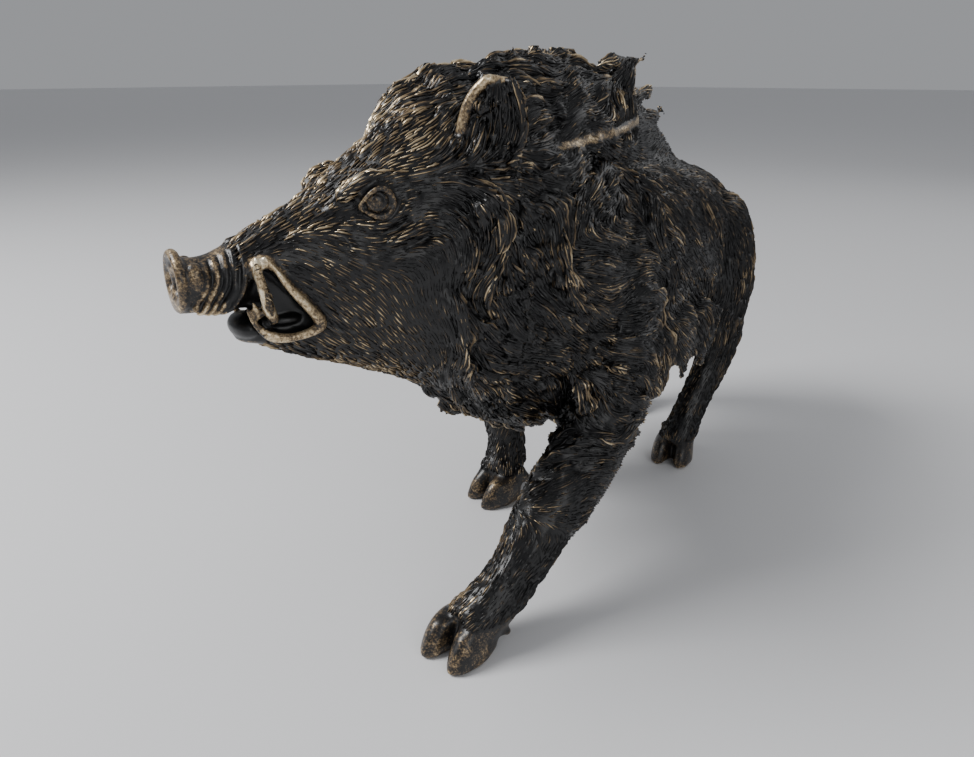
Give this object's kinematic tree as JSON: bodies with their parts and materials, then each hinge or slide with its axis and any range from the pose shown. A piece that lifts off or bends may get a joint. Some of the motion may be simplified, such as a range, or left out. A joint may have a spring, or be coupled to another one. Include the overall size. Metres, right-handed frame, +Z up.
{
  "type": "boar sculpture",
  "caption": "Walking wild boar cast in bronze, head turned a little aside, mouth open with tusks, shaggy swept-back mane, standing on its own hooves.",
  "frame": {"origin": "on the ground below the middle of the sculpture's box", "axes": "+Z up, -Y the way the boar walks, +X to the boar's left"},
  "size_m": [0.1408, 0.409, 0.2671],
  "materials": {
    "patinated_bronze": "cast bronze under a near-black brown patina, rubbed to pale gold on raised hair, snout rim, lips and tusks"
  },
  "bodies": {
    "root": {"boar": "patinated_bronze"}
  },
  "joints": []
}
